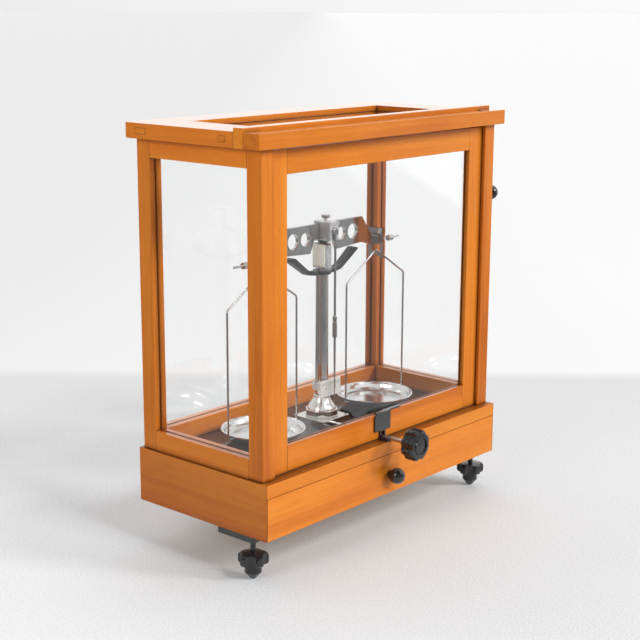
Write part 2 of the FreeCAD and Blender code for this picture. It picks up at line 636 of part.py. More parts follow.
# lifting rod in the pillar's bore, with its cross pin
rod_bottom = d.shaft_z - d.cam_e * a45 + d.cam_r + 0.3
rod = new_body("arrest_rod")
revolve(rod, [(0, 0), (d.rod_r, 0), (d.rod_r, d.head_z0 - 1.0 - rod_bottom), (0, d.head_z0 - 1.0 - rod_bottom)])
pinz = d.col_z1 + 2.9
sk = sketch(rod, "YZ_Plane")
circle(sk, 0, pinz - rod_bottom, 1.2)
pad(rod, sk, 17.0, mid=True)
place(rod, 0, py, rod_bottom)
node(rod)
# arms of the arrestment: a ring round the neck and two sloping bars
aa = new_body("arrest_arms")
ring_z0 = d.col_z1 + 0.6
sk = sketch(aa, "XZ_Plane", -4.5)
t = 4.4
loop(sk, [(-16.0, ring_z0), (16.0, ring_z0), (28.5, ring_z0 + 2.2), (57.0, 257.6), (57.0, 259.6), (52.0, 261.0), (49.0, 260.4), (27.0, ring_z0 + 7.0), (15.0, ring_z0 + t),
          (-15.0, ring_z0 + t), (-27.0, ring_z0 + 7.0), (-49.0, 260.4), (-52.0, 261.0), (-57.0, 259.6), (-57.0, 257.6), (-28.5, ring_z0 + 2.2)])
pad(aa, sk, 9.0)
sk = sketch(aa, "XY_Plane", ring_z0)
circle(sk, 0, 0, 10.5)
pad(aa, sk, t)
sk = sketch(aa, "XY_Plane", ring_z0 - 1)
circle(sk, 0, 0, d.neck_r + 0.3)
pocket(aa, sk, t + 2, back=True)
# cross hole for the rod's pin, which stops inside the ring
sk = sketch(aa, "YZ_Plane", -8.5)
circle(sk, 0, pinz, 1.2)
pocket(aa, sk, 17.0, back=True)
place(aa, 0, py, 0)
node(aa)

# ------------------------------------------------------------------ beam
bm = new_body("beam")
A, P = d.arm, d.pivot_z
sk = sketch(bm, "XZ_Plane", -2.5)
tp = d.beam_top
half = [(tp, d.beam_z1), (86.0, 268.2), (A + 8.0, 268.2), (A + 8.0, 258.8), (86.0, 258.8), (65.4, 264.6), (22.5, 262.0), (16.8, d.saddle_z0)]
loop(sk, half + [(-x if isinstance(x, Q) else -x, z) for x, z in reversed(half)])
for s in (-1, 1):
    circle(sk, s * d.hole_ax, d.hole_z, d.hole_a)
    circle(sk, s * d.hole_bx, d.hole_z, d.hole_b)
pad(bm, sk, d.beam_t)
# end blocks that hold the end knives, and the threaded rods for the nuts
for s in (-1, 1):
    sk = sketch(bm, "XY_Plane", 258.8)
    rect(sk, s * A - 5, -6.2, s * A + 5, 6.2)
    pad(bm, sk, 268.2 - 258.8)
sk = sketch(bm, "YZ_Plane", A + 7.0)
circle(sk, 0, d.rod_z, 1.3)
pad(bm, sk, 138.2 - A - 7.0)
sk = sketch(bm, "YZ_Plane", -(A + 7.0))
circle(sk, 0, d.rod_z, 1.3)
pad(bm, sk, 138.2 - A - 7.0, back=True)
# slot across the middle for the saddle
place(bm, 0, py, 0)
node(bm)
sd = new_body("beam_saddle")
# saddle: two cheeks joined over the beam by a cap, with the knife let in below
hs = d.saddle_w / 2
sk = sketch(sd, "YZ_Plane", -hs)
ya, yb = d.saddle_y0 - py, d.saddle_y1 - py
loop(sk, [(ya, d.saddle_z0), (-2.5, d.saddle_z0), (-2.5, d.beam_z1), (2.5, d.beam_z1), (2.5, d.saddle_z0), (yb, d.saddle_z0), (yb, d.saddle_z1 - 2.6),
          (yb + 0.8, d.saddle_z1 - 2.6), (yb + 0.8, d.saddle_z1), (ya - 0.8, d.saddle_z1), (ya - 0.8, d.saddle_z1 - 2.6), (ya, d.saddle_z1 - 2.6)])
pad(sd, sk, d.saddle_w)
# the cheeks are hollowed, which keeps the beam's weight low
sk = sketch(sd, "XY_Plane", d.saddle_z0 - 1)
rect(sk, -hs + 1.8, ya + 1.8, hs - 1.8, -4.3)
pocket(sd, sk, 16.0, back=True)
place(sd, 0, py, 0)
node(sd)

ck = prism_y("centre_knife", -0.5, 13.0, [(-3.0, 274.4), (0, P), (3.0, 274.4), (3.0, d.saddle_z0), (-3.0, d.saddle_z0)])
node(ck)
ek = []
for s in (-1, 1):
    k1 = prism_y("end_knife_%d" % (s + 2), py - 6.5, py + 6.5, [(s * A - 3.0, 268.2), (s * A + 3.0, 268.2), (s * A + 3.0, 268.9), (s * A, P - 0.1), (s * A - 3.0, 268.9)], off=False)
    ek.append(k1)
group("end_knives", ek)
ts = new_body("sensitivity_screw")
revolve(ts, [(0, 0), (1.6, 0), (1.6, 2.2), (3.4, 3.0), (5.0, 3.8), (5.0, 6.6), (4.4, 7.2), (0, 7.2)])
place(ts, 0, 3.0, d.saddle_z1)
node(ts)


def nut(label, s):
    b = new_body(label)
    revolve(b, [(1.3, 0), (d.nut_r - 0.6, 0), (d.nut_r, 0.7), (d.nut_r, d.nut_len - 0.7), (d.nut_r - 0.6, d.nut_len), (1.3, d.nut_len)])
    place(b, s * d.nut_x0, py, d.rod_z, Rotation(Vector(0, 1, 0), 90 * s))
    return node(b)


nut("balance_nut_left", -1)
nut("balance_nut_right", 1)
# pointer with its clamp disc on the saddle's front, own Z axis up
pt = new_body("pointer")
r1 = d.ptr_r
revolve(pt, [(0, d.ptr_z0), (0.35, d.ptr_z0), (r1 * 0.7, 104.0), (r1, 150.0), (r1, d.ptr_z1 - 0.5), (r1 - 0.5, d.ptr_z1), (0, d.ptr_z1)])
sk = sketch(pt, "XZ_Plane", -0.6)
circle(sk, 0, 286.5, 3.4)
pad(pt, sk, 2.3)
place(pt, 0, d.ptr_y + 0.0, 0)
node(pt)
sl = new_body("pointer_sleeve")
revolve(sl, [(r1, 165.5), (2.2, 165.5), (2.7, 166.4), (2.7, 182.6), (2.1, 183.2), (2.1, 185.2), (2.6, 185.9), (2.6, 189.4), (1.9, 190.4), (r1, 190.4)])
place(sl, 0, d.ptr_y, 0)
node(sl)


# ------------------------------------------------ stirrups, bows and pans
def stirrup(label, s):
    """Hoop that rests on the end knife; the bow hangs on its lower bar."""
    b = new_body(label)
    sk = sketch(b, "YZ_Plane", -d.hoop_t / 2)
    w = d.hoop_w / 2
    loop(sk, [(-w, d.hoop_z0), (-w + 3.0, d.hoop_z0), (0, d.hoop_z0 + 4.2), (w - 3.0, d.hoop_z0), (w, d.hoop_z0), (w, d.hoop_z1), (-w, d.hoop_z1)])
    loop(sk, [(-w + 3.6, 249.0), (-w + 3.6, P + 0.0), (w - 3.6, P + 0.0), (w - 3.6, 249.0)])
    pad(b, sk, d.hoop_t)
    # thicker bearing bar along the top
    sk = sketch(b, "XY_Plane", P)
    rect(sk, -3.2, -w, 3.2, w)
    pad(b, sk, d.hoop_z1 - P)
    place(b, s * A, py, 0)
    return node(b)


stirrup("stirrup_left", -1)
stirrup("stirrup_right", 1)


def filleted(points, radii):
    """Straight runs joined by tangent arcs, as one wire."""
    edges, start = [], points[0]
    for i in range(1, len(points) - 1):
        p0, p1, p2 = points[i - 1], points[i], points[i + 1]
        u, v = (p0 - p1).normalize(), (p2 - p1).normalize()
        ang = u.getAngle(v)
        cut = radii[i - 1] / math.tan(ang / 2)
        a, b = p1 + u * cut, p1 + v * cut
        w = (u + v).normalize()
        mid = p1 + w * (radii[i - 1] / math.sin(ang / 2) - radii[i - 1])
        edges.append(Part.LineSegment(start, a).toShape())
        edges.append(Part.Arc(a, mid, b).toShape())
        start = b
    edges.append(Part.LineSegment(start, points[-1]).toShape())
    return Part.Wire(edges)


def bow(label, s):
    """Bent wire hoop that carries the pan on two inward hooks."""
    v = {a: num(D[a]) for a in ("bow_half", "wire_r", "bow_apex", "bow_shoulder", "hook_z", "pan_r")}
    hb_, hk = v["bow_half"], v["hook_z"]
    e = hb_ - (v["pan_r"] - 0.6)
    pts = [Vector(-hb_ + e, 0, hk), Vector(-hb_, 0, hk), Vector(-hb_, 0, v["bow_shoulder"]), Vector(0, 0, v["bow_apex"] + 1.0),
           Vector(hb_, 0, v["bow_shoulder"]), Vector(hb_, 0, hk), Vector(hb_ - e, 0, hk)]
    path = filleted(pts, [3.0, 4.5, 5.0, 4.5, 3.0])
    sec = Part.Wire([Part.Circle(pts[0], Vector(1, 0, 0), v["wire_r"]).toShape()])
    shape = path.makePipeShell([sec], True, False)
    f = doc.addObject("Part::Feature", label)
    f.Shape = shape
    f.Label = label
    print(label, "volume", round(shape.Volume, 2), "section x length", round(math.pi * v["wire_r"] ** 2 * path.Length, 2),
          "top of the centre line", round(path.BoundBox.ZMax, 3))
    f.Placement = Placement(Vector(num(d.off_x + s * A), num(d.off_y + py), num(d.off_z)), Rotation())
    return node(f)


bow("bow_left", -1)
bow("bow_right", 1)


def pan(label, s):
    """Shallow spun pan with a rolled rim."""
    b = new_body(label)
    R, zr, h, w = d.pan_r, d.pan_rim_z, d.pan_h, d.pan_wall
    zb_ = zr - h
    revolve(b, [(0, zb_), (R - 11.0, zb_), (R - 7.0, zb_ + 1.1), (R - 4.6, zb_ + 3.4), (R - 3.2, zr - 2.2), (R - 2.0, zr - 1.0), (R - 0.7, zr - 1.0), (R, zr - 0.5), (R, zr + 0.3), (R - 0.6, zr + 0.8),
                (R - 1.6, zr + 0.8), (R - 2.6, zr + 0.1), (R - 4.2, zr - 1.9), (R - 5.6, zb_ + 3.9), (R - 7.8, zb_ + 1.9), (R - 11.2, zb_ + w), (0, zb_ + w)])
    place(b, s * A, py, 0)
    return node(b)


pan("pan_left", -1)
pan("pan_right", 1)

# --------------------------------------------------------------- checking
doc.recompute()
bad = [o.Name for o in doc.Objects if any(x in ("Invalid", "Error") for x in o.State)]
if bad:
    raise RuntimeError("failed objects: %s" % bad)
for o_ in NODES:
    if o_.Shape.isNull() or not o_.Shape.isValid() or not o_.Shape.Solids:
        raise RuntimeError("bad shape: " + o_.Label)
labels = [o_.Label for o_ in NODES]
if len(set(labels)) != len(labels) or len(labels) > 60:
    raise RuntimeError("labels: %d" % len(labels))
os.makedirs("parts", exist_ok=True)
box_all = None
for o_ in NODES:
    o_.Shape.exportStep("parts/%s.step" % o_.Label)
    bb = o_.Shape.BoundBox
    box_all = bb if box_all is None else box_all.united(bb)
    print("%-20s solids %d  volume %10.1f  x %8.2f %8.2f  y %8.2f %8.2f  z %8.2f %8.2f" % (
        o_.Label, len(o_.Shape.Solids), o_.Shape.Volume, bb.XMin, bb.XMax, bb.YMin, bb.YMax, bb.ZMin, bb.ZMax))
print("nodes", len(NODES), "box", box_all)
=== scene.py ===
import math

import bpy
import bmesh
from mathutils import Matrix, Vector


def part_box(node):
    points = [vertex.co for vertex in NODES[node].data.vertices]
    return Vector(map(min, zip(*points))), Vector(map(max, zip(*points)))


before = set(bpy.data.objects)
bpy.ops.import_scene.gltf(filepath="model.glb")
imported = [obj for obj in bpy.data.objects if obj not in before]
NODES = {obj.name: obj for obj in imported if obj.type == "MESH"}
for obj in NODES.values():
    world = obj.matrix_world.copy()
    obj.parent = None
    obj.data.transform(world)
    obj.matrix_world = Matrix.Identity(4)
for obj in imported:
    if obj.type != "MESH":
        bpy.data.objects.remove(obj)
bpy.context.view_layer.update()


# ---------------------------------------------------------------- node helpers
class Tree:
    def __init__(self, name):
        self.mat = bpy.data.materials.new(name)
        self.mat.use_nodes = True
        self.t = self.mat.node_tree
        self.t.nodes.clear()
        self.out = self.t.nodes.new("ShaderNodeOutputMaterial")

    def new(self, kind, props=None, **sockets):
        n = self.t.nodes.new(kind)
        for k, v in (props or {}).items():
            setattr(n, k, v)
        for k, v in sockets.items():
            self.put(n, k.replace("_", " "), v)
        return n

    def put(self, n, key, v):
        s = n.inputs[key]
        if isinstance(v, bpy.types.NodeSocket):
            self.t.links.new(v, s)
        else:
            s.default_value = v

    def math(self, op, a, b=None, c=None, clamp=False):
        n = self.t.nodes.new("ShaderNodeMath")
        n.operation = op
        n.use_clamp = clamp
        for i, v in enumerate((a, b, c)):
            if v is None:
                continue
            if isinstance(v, bpy.types.NodeSocket):
                self.t.links.new(v, n.inputs[i])
            else:
                n.inputs[i].default_value = v
        return n.outputs[0]

    def vec(self, op, a, b=None):
        n = self.t.nodes.new("ShaderNodeVectorMath")
        n.operation = op
        for i, v in enumerate((a, b)):
            if v is None:
                continue
            if isinstance(v, bpy.types.NodeSocket):
                self.t.links.new(v, n.inputs[i])
            else:
                n.inputs[i].default_value = v
        return n.outputs["Value"] if op in ("LENGTH", "DISTANCE", "DOT_PRODUCT") else n.outputs[0]

    def ramp(self, fac, stops, interp="LINEAR"):
        n = self.t.nodes.new("ShaderNodeValToRGB")
        n.color_ramp.interpolation = interp
        e = n.color_ramp.elements
        while len(e) < len(stops):
            e.new(0.5)
        for i, (p, c) in enumerate(stops):
            e[i].position = p
            e[i].color = c if len(c) == 4 else (*c, 1.0)
        self.t.links.new(fac, n.inputs[0])
        return n.outputs[0]

    def mix(self, fac, a, b, blend="MIX"):
        n = self.t.nodes.new("ShaderNodeMix")
        n.data_type = "RGBA"
        n.blend_type = blend
        n.clamp_factor = True
        for s, v in ((n.inputs[0], fac), (n.inputs[6], a), (n.inputs[7], b)):
            if isinstance(v, bpy.types.NodeSocket):
                self.t.links.new(v, s)
            else:
                s.default_value = v if not isinstance(v, tuple) or len(v) == 4 else (*v, 1.0)
        return n.outputs[2]

    def noise(self, vec, scale, detail=2.0, rough=0.5, distortion=0.0):
        n = self.t.nodes.new("ShaderNodeTexNoise")
        self.t.links.new(vec, n.inputs["Vector"])
        n.inputs["Scale"].default_value = scale
        n.inputs["Detail"].default_value = detail
        n.inputs["Roughness"].default_value = rough
        n.inputs["Distortion"].default_value = distortion
        return n.outputs[0]

    def span(self, v, lo, hi, a=0.0, b=1.0):
        n = self.t.nodes.new("ShaderNodeMapRange")
        n.clamp = True
        self.t.links.new(v, n.inputs[0])
        for i, x in zip((1, 2, 3, 4), (lo, hi, a, b)):
            n.inputs[i].default_value = x
        return n.outputs[0]

    def bump(self, height, strength, distance, normal=None):
        n = self.t.nodes.new("ShaderNodeBump")
        n.inputs["Strength"].default_value = strength
        n.inputs["Distance"].default_value = distance
        self.t.links.new(height, n.inputs["Height"])
        if normal is not None:
            self.t.links.new(normal, n.inputs["Normal"])
        return n.outputs[0]

    def obj(self):
        return self.t.nodes.new("ShaderNodeTexCoord").outputs["Object"]

    def principled(self, **sockets):
        n = self.t.nodes.new("ShaderNodeBsdfPrincipled")
        for k, v in sockets.items():
            self.put(n, k.replace("_", " "), v)
        self.t.links.new(n.outputs[0], self.out.inputs[0])
        return n


def crevice(T, distance, lo=0.35, hi=0.95):
    """1 in the open, falling towards 0 in corners and joints."""
    n = T.t.nodes.new("ShaderNodeAmbientOcclusion")
    n.samples = 4
    n.inputs["Distance"].default_value = distance
    return T.span(n.outputs["AO"], lo, hi, 0.0, 1.0)


# ---------------------------------------------------------------- wood
def wood(name, axis, light, mid, dark, seed=0.0, ring=0.009, coat=0.24, top=0.74, joint=0.75, near=0.006, painted_shade_colour=(0.10, 0.035, 0.012), side=0.75):
    T = Tree(name)
    co = T.vec("ADD", T.obj(), (0.731 * seed + 0.31, 0.417 * seed + 0.27, 0.291 * seed + 0.19))
    long = {"X": (0.05, 1, 1), "Y": (1, 0.05, 1), "Z": (1, 1, 0.05)}[axis]
    grain = T.vec("MULTIPLY", co, long)
    # growth rings, cut by the board's faces
    w = T.new("ShaderNodeTexWave", {"wave_type": "RINGS", "rings_direction": axis, "wave_profile": "SAW"})
    warp = T.noise(grain, 13.0, 4.0, 0.58)
    shift = T.vec("MULTIPLY", T.vec("ADD", T.new("ShaderNodeCombineXYZ", X=warp, Y=warp, Z=warp).outputs[0], (0, 0, 0)), (0.05, 0.05, 0.05))
    T.t.links.new(T.vec("ADD", grain, shift), w.inputs["Vector"])
    w.inputs["Scale"].default_value = 0.314 / ring
    w.inputs["Distortion"].default_value = 5.0
    w.inputs["Detail"].default_value = 3.0
    w.inputs["Detail Scale"].default_value = 1.4
    w.inputs["Detail Roughness"].default_value = 0.6
    rings = w.outputs["Fac"]
    blotch = T.noise(co, 7.0, 3.0, 0.5)
    streak = T.noise(T.vec("MULTIPLY", co, {"X": (0.03, 1, 1), "Y": (1, 0.03, 1), "Z": (1, 1, 0.03)}[axis]), 230.0, 4.0, 0.62)
    fibre = T.noise(T.vec("MULTIPLY", co, {"X": (0.02, 1, 1), "Y": (1, 0.02, 1), "Z": (1, 1, 0.02)}[axis]), 1500.0, 2.0, 0.6)
    pore_n = T.noise(T.vec("MULTIPLY", co, {"X": (0.06, 1, 1), "Y": (1, 0.06, 1), "Z": (1, 1, 0.06)}[axis]), 2300.0, 1.0, 0.4)
    pores = T.span(pore_n, 0.63, 0.74)
    tone = T.ramp(rings, [(0.0, light), (0.62, mid), (0.93, dark), (1.0, mid)], "EASE")
    plain = T.ramp(T.span(warp, 0.36, 0.64), [(0.0, dark), (0.35, mid), (1.0, light)], "EASE")
    col = T.mix(0.86, tone, plain)
    col = T.mix(T.span(streak, 0.30, 0.72, 0.0, 0.26), col, T.mix(1.0, col, (0.78, 0.70, 0.62), "MULTIPLY"))
    col = T.mix(T.span(fibre, 0.35, 0.7, 0.0, 0.16), col, T.mix(1.0, col, (0.72, 0.62, 0.55), "MULTIPLY"))
    col = T.mix(T.span(blotch, 0.36, 0.70, 0.0, 0.55), col, T.mix(1.0, col, (0.88, 0.78, 0.64), "MULTIPLY"))
    cloudy = T.noise(T.vec("MULTIPLY", co, {"X": (0.35, 1, 1), "Y": (1, 0.35, 1), "Z": (1, 1, 0.35)}[axis]), 26.0, 4.0, 0.62, 0.4)
    col = T.mix(T.span(cloudy, 0.34, 0.70, 0.0, 0.5), col, T.mix(1.0, col, (0.86, 0.76, 0.62), "MULTIPLY"))
    col = T.mix(T.math("MULTIPLY", pores, 0.26), col, tuple(0.45 * c for c in dark))
    # painted shade: ambient occlusion darkens corners, gaps and upward ledges towards a dark brown colour, weighted
    # separately on upward faces and on the rest
    ao = crevice(T, near)
    up = T.new("ShaderNodeSeparateXYZ")
    T.t.links.new(T.t.nodes.new("ShaderNodeNewGeometry").outputs["Normal"], up.inputs[0])
    ledge = T.span(up.outputs[2], 0.3, 0.8)
    shade_mix = T.math("MULTIPLY", T.math("SUBTRACT", 1.0, ao), T.math("ADD", side, T.math("MULTIPLY", ledge, joint - side)))
    col = T.mix(shade_mix, col, painted_shade_colour)
    smear = T.noise(co, 34.0, 4.0, 0.6)
    rough = T.math("ADD", T.span(smear, 0.3, 0.7, 0.30, 0.46), T.math("MULTIPLY", pores, 0.12))
    height = T.math("SUBTRACT", T.math("MULTIPLY", fibre, 0.35), pores)
    nrm = T.bump(height, 0.09, 0.00025)
    wave = T.bump(T.noise(grain, 60.0, 2.0, 0.5), 0.05, 0.0006, nrm)
    T.principled(
        Base_Color=col,
        Roughness=rough,
        Normal=wave,
        Coat_Weight=T.math("ADD", T.math("MULTIPLY", ledge, top), coat) if coat else 0.0,
        Coat_Roughness=0.04,
        Coat_IOR=1.5,
        Specular_IOR_Level=0.14,
    )
    return T.mat


# linear colours of the varnished timber
L1, M1, D1 = (0.83, 0.298, 0.028), (0.74, 0.232, 0.018), (0.55, 0.138, 0.010)
L2, M2, D2 = (0.79, 0.276, 0.026), (0.69, 0.208, 0.016), (0.50, 0.122, 0.009)
WOOD = {}
for i, (node, axis, tone) in enumerate(
    [
        ("base_sides", "Y", 1),
        ("base_back", "X", 1),
        ("base_front_rail", "X", 0),
        ("drawer_front", "X", 0),
        ("posts_front", "Z", 1),
        ("posts_rear", "Z", 1),
        ("rails_left", "Y", 1),
        ("rails_right", "Y", 1),
        ("rails_back", "X", 1),
        ("lid_sides", "Y", 1),
        ("lid_cross_front", "X", 1),
        ("lid_cross_rear", "X", 1),
        ("lid_strip", "X", 1),
        ("lid_front", "X", 1),
        ("sash_stiles", "Z", 1),
        ("sash_rail_bottom", "X", 0),
        ("sash_rail_top", "X", 0),
    ]
):
    a, b, c = (L1, M1, D1) if tone == 0 else (L2, M2, D2)
    # painted shade: base_sides get 0.90 instead of 1.02 to offset the light bounced up from the floor
    k = (0.90 if node == "base_sides" else 1.02) + 0.05 * math.sin(2.3 * i)
    extra = {}
    # painted shade: the ledge tops of the base darkened to a uniform dark brown, as if shaded by the sash, with a wide
    # occlusion distance
    if node in ("base_front_rail", "base_sides"):
        extra = dict(near=0.06, painted_shade_colour=(0.10, 0.028, 0.007), joint=1.4, side=0.25, top=-0.2)
    # weaker painted shade in the drawer seam
    elif node == "drawer_front":
        extra = dict(side=0.3, joint=0.3)
    # painted shadow on the sash top rail under the overhanging lid front
    elif node == "sash_rail_top":
        extra = dict(near=0.014, painted_shade_colour=(0.16, 0.045, 0.010), joint=0.9)
    # painted shade in the narrow gaps around the sash bottom rail and the front posts
    elif node in ("sash_rail_bottom", "posts_front"):
        extra = dict(near=0.0045, joint=0.98, side=0.98, painted_shade_colour=(0.05, 0.016, 0.006))
    WOOD[node] = wood("varnished_" + node, axis, tuple(x * k for x in a), tuple(x * k for x in b), tuple(x * k for x in c), seed=1.0 + i, **extra)
PLAIN = ((0.55, 0.33, 0.15), (0.48, 0.27, 0.115), (0.37, 0.19, 0.075))
for i, node in enumerate(("base_top", "base_bottom", "drawer_tray")):
    WOOD[node] = wood("plain_" + node, "X", *PLAIN, seed=30.0 + i, ring=0.004, coat=0.0)


# ---------------------------------------------------------------- glass
def pane(name, tint, seed):
    T = Tree(name)
    co = T.vec("ADD", T.obj(), (seed, seed * 0.7, seed * 0.3))
    wipe = T.noise(T.vec("MULTIPLY", co, (1.0, 1.0, 0.35)), 16.0, 4.0, 0.65, 0.6)
    rough = T.span(wipe, 0.52, 0.80, 0.0, 0.012)
    draw = T.bump(T.noise(T.vec("MULTIPLY", co, (1.0, 1.0, 0.25)), 5.0, 1.0, 0.4), 0.02, 0.0006)
    p = T.principled(Roughness=rough, Normal=draw)
    p.inputs["Base Color"].default_value = (*tint, 1.0)
    p.inputs["Transmission Weight"].default_value = 1.0
    p.inputs["IOR"].default_value = 1.5
    p.inputs["Specular IOR Level"].default_value = 0.075
    tr = T.t.nodes.new("ShaderNodeBsdfTransparent")
    tr.inputs[0].default_value = (0.995, 0.998, 0.997, 1.0)
    lp = T.t.nodes.new("ShaderNodeLightPath")
    fac = T.math("MAXIMUM", lp.outputs["Is Shadow Ray"], lp.outputs["Is Diffuse Ray"])
    mx = T.t.nodes.new("ShaderNodeMixShader")
    T.t.links.new(fac, mx.inputs[0])
    T.t.links.new(p.outputs[0], mx.inputs[1])
    T.t.links.new(tr.outputs[0], mx.inputs[2])
    T.t.links.new(mx.outputs[0], T.out.inputs[0])
    return T.mat


GLASS = pane("clear_pane", (0.997, 1.0, 0.999), 0.0)
GLASS_B = pane("clear_pane_back", (0.997, 1.0, 0.999), 4.0)


# ---------------------------------------------------------------- plastics and paint
def plastic(name, base, rough, seed=0.0, coat=0.25, grit=0.05, scuff=0.25):
    T = Tree(name)
    co = T.vec("ADD", T.obj(), (seed, seed * 0.6, seed * 0.2))
    cloud = T.noise(co, 60.0, 4.0, 0.6)
    fine = T.noise(co, 900.0, 3.0, 0.6)
    scr = T.noise(T.vec("MULTIPLY", co, (1.0, 0.12, 1.0)), 700.0, 2.0, 0.5)
    wear = T.span(scr, 0.64, 0.76, 0.0, scuff)
    ao = crevice(T, 0.004, 0.4, 0.95)
    col = T.mix(T.span(cloud, 0.35, 0.7, 0.0, 0.5), (*base, 1.0), (*(min(1.0, 1.35 * c + 0.004) for c in base), 1.0))
    col = T.mix(wear, col, (*(min(1.0, 2.2 * c + 0.02) for c in base), 1.0))
    # painted shade: darker in creases by ambient occlusion
    col = T.mix(T.math("MULTIPLY", T.math("SUBTRACT", 1.0, ao), 0.4), col, (*(0.4 * c for c in base), 1.0))
    r = T.math("ADD", T.span(cloud, 0.3, 0.7, rough * 0.85, rough * 1.2), T.math("MULTIPLY", wear, 0.35))
    T.principled(
        Base_Color=col,
        Roughness=r,
        Normal=T.bump(T.math("ADD", T.math("MULTIPLY", fine, 0.6), cloud), grit, 0.0002),
        Coat_Weight=coat,
        Coat_Roughness=0.12,
    )
    return T.mat


BAKELITE = plastic("black_phenolic", (0.012, 0.012, 0.014), 0.22, coat=0.2)
BALL = plastic("black_ball_phenolic", (0.012, 0.012, 0.013), 0.14, 2.0, coat=0.5, grit=0.02, scuff=0.1)
ENAMEL = plastic("black_enamel", (0.030, 0.030, 0.032), 0.36, 5.0, coat=0.15, grit=0.09)
LIFT = plastic("black_japan", (0.007, 0.007, 0.008), 0.20, 11.0, coat=0.9, grit=0.12, scuff=0.4)
IVORY = plastic("ivory_cover", (0.83, 0.80, 0.69), 0.38, 7.0, coat=0.1, grit=0.03, scuff=0.05)
AGATE = plastic("agate_bearing", (0.20, 0.10, 0.07), 0.10, 9.0, coat=0.6, grit=0.0, scuff=0.0)


# ---------------------------------------------------------------- metals
def metal(name, base, rough, seed=0.0, brush=None, brush_scale=900.0, grit=0.03, tarnish=0.25, tint=(0.55, 0.50, 0.44)):
    T = Tree(name)
    co = T.vec("ADD", T.obj(), (seed, seed * 0.6, seed * 0.2))
    cloud = T.noise(co, 45.0, 4.0, 0.6)
    k = {"X": (0.04, 1, 1), "Y": (1, 0.04, 1), "Z": (1, 1, 0.04), None: (1, 1, 1)}[brush]
    lines = T.noise(T.vec("MULTIPLY", co, k), brush_scale, 3.0, 0.6)
    ao = crevice(T, 0.003, 0.35, 0.9)
    col = T.mix(T.span(cloud, 0.4, 0.75, 0.0, tarnish), (*base, 1.0), (*(b * t for b, t in zip(base, (0.82, 0.80, 0.76))), 1.0))
    col = T.mix(T.math("MULTIPLY", T.math("SUBTRACT", 1.0, ao), 0.55), col, (*(b * t for b, t in zip(base, tint)), 1.0))
    r = T.math("ADD", T.span(cloud, 0.3, 0.75, rough * 0.8, rough * 1.35), T.span(lines, 0.35, 0.7, -0.25 * rough, 0.45 * rough))
    T.principled(Base_Color=col, Metallic=1.0, Roughness=r, Normal=T.bump(lines, grit, 0.0001))
    return T.mat


def spun(name, base, rough, centre, pitch=0.0009, grit=0.03):
    """Turned on a lathe about a vertical axis through centre."""
    T = Tree(name)
    co = T.obj()
    rel = T.vec("MULTIPLY", T.vec("SUBTRACT", co, (centre[0], centre[1], 0.0)), (1.0, 1.0, 0.0))
    rad = T.vec("LENGTH", rel)
    wob = T.noise(co, 60.0, 2.0, 0.5)
    saw = T.math("FRACT", T.math("ADD", T.math("MULTIPLY", rad, 1.0 / pitch), T.math("MULTIPLY", wob, 0.25)))
    tri = T.math("ABSOLUTE", T.math("SUBTRACT", saw, 0.5))
    cloud = T.noise(co, 50.0, 4.0, 0.6)
    ao = crevice(T, 0.004, 0.3, 0.9)
    col = T.mix(T.span(cloud, 0.4, 0.75, 0.0, 0.2), (*base, 1.0), (*(0.88 * b for b in base), 1.0))
    # painted shade: darker in hollows by ambient occlusion
    col = T.mix(T.math("MULTIPLY", T.math("SUBTRACT", 1.0, ao), 0.45), col, (*(0.45 * b for b in base), 1.0))
    r = T.math("ADD", T.span(cloud, 0.3, 0.75, rough * 0.9, rough * 1.15), T.math("MULTIPLY", tri, 0.6 * rough))
    T.principled(Base_Color=col, Metallic=1.0, Roughness=r, Normal=T.bump(tri, grit, 0.00008))
    return T.mat


CHROME = metal("nickel_plate", (0.70, 0.68, 0.655), 0.08, 1.0, grit=0.015)
CHROME_Z = metal("nickel_plate_tube", (0.66, 0.635, 0.62), 0.07, 2.0, brush="Z", grit=0.02)
STEEL = metal("ground_steel", (0.56, 0.56, 0.57), 0.24, 3.0, brush="Y", grit=0.05)
WIRE = metal("nickel_wire", (0.52, 0.51, 0.51), 0.14, 4.0, brush="Z", grit=0.02)
BRASS = metal("plated_brass", (0.50, 0.485, 0.46), 0.16, 5.0, grit=0.02)
ALLOY = metal("satin_alloy", (0.64, 0.635, 0.625), 0.07, 6.0, brush="X", grit=0.02)
CAST = metal("polished_casting", (0.80, 0.80, 0.815), 0.27, 7.0, grit=0.02)



def dial(name):
    """Light plate with a short engraved scale, no figures."""
    T = Tree(name)
    co = T.obj()
    s = T.t.nodes.new("ShaderNodeSeparateXYZ")
    T.t.links.new(co, s.inputs[0])
    lo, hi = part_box("index_plate")
    cx = 0.5 * (lo[0] + hi[0])
    u = T.math("SUBTRACT", s.outputs[0], cx)
    step = 0.00145
    near = T.math("ABSOLUTE", T.math("SUBTRACT", T.math("FRACT", T.math("ADD", T.math("DIVIDE", u, step), 0.5)), 0.5))
    bar = T.math("LESS_THAN", near, 0.13)
    five = T.math("ABSOLUTE", T.math("SUBTRACT", T.math("FRACT", T.math("ADD", T.math("DIVIDE", u, step * 5), 0.5)), 0.5))
    longbar = T.math("LESS_THAN", five, 0.06)
    z = s.outputs[2]
    top = hi[2] - 0.003
    low = T.math("SUBTRACT", top, T.math("MULTIPLY", T.math("ADD", longbar, 1.0), 0.0030))
    inz = T.math("MULTIPLY", T.math("GREATER_THAN", z, low), T.math("LESS_THAN", z, top))
    inx = T.math("LESS_THAN", T.math("ABSOLUTE", u), step * 10.3)
    ink = T.math("MULTIPLY", T.math("MULTIPLY", bar, inz), inx)
    cloud = T.noise(co, 80.0, 3.0, 0.6)
    base = T.mix(T.span(cloud, 0.35, 0.7, 0.0, 0.3), (0.70, 0.69, 0.66), (0.60, 0.585, 0.55))
    col = T.mix(T.math("MULTIPLY", ink, 0.92), base, (0.02, 0.02, 0.02))
    T.principled(Base_Color=col, Metallic=0.0, Roughness=T.span(cloud, 0.3, 0.7, 0.28, 0.42), Normal=T.bump(ink, 0.1, 0.0001))
    return T.mat


